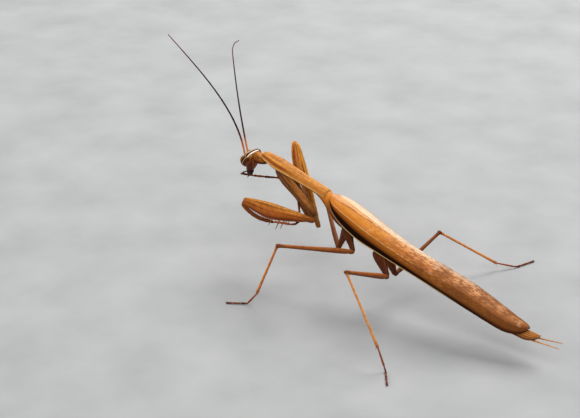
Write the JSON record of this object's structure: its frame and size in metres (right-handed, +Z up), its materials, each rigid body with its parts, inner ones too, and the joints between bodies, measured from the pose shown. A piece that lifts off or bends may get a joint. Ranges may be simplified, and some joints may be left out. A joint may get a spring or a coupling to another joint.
{
  "type": "praying mantis model",
  "caption": "Life-size model of a slender brown long-winged praying mantis, standing with one foreleg folded and the other raised to its mouth.",
  "frame": {"origin": "on the floor, under the middle of the bounding box", "axes": "+Z up, -Y the way the head faces, +X the animal's left"},
  "size_m": [0.0646, 0.097, 0.053],
  "materials": {
    "back": "satin orange-tan shell",
    "wing": "satin reddish-brown leathery forewing with fine veins",
    "leg": "satin reddish-brown shell",
    "dark": "satin dark brown shell",
    "eye": "smooth striped olive-brown compound eye"
  },
  "bodies": {
    "root": {"abdomen": "leg", "antenna_left": "dark", "antenna_right": "dark", "cercus_left": "leg", "cercus_right": "leg", "eye_left": "eye", "eye_right": "eye", "fore_coxa_left": "leg", "fore_coxa_right": "leg", "fore_femur_left": "leg", "fore_femur_right": "leg", "fore_tarsus_left": "dark", "fore_tarsus_right": "dark", "fore_tibia_left": "leg", "fore_tibia_right": "leg", "head": "back", "hind_coxa_left": "leg", "hind_coxa_right": "leg", "hind_femur_left": "leg", "hind_femur_right": "leg", "hind_tarsus_left": "dark", "hind_tarsus_right": "dark", "hind_tibia_left": "leg", "hind_tibia_right": "leg", "hindwing_left": "wing", "hindwing_right": "wing", "mid_coxa_left": "leg", "mid_coxa_right": "leg", "mid_femur_left": "leg", "mid_femur_right": "leg", "mid_tarsus_left": "dark", "mid_tarsus_right": "dark", "mid_tibia_left": "leg", "mid_tibia_right": "leg", "mouthparts": "dark", "neck": "back", "pronotum": "back", "tegmen_left": "wing", "tegmen_right": "wing", "thorax": "leg"}
  },
  "joints": []
}
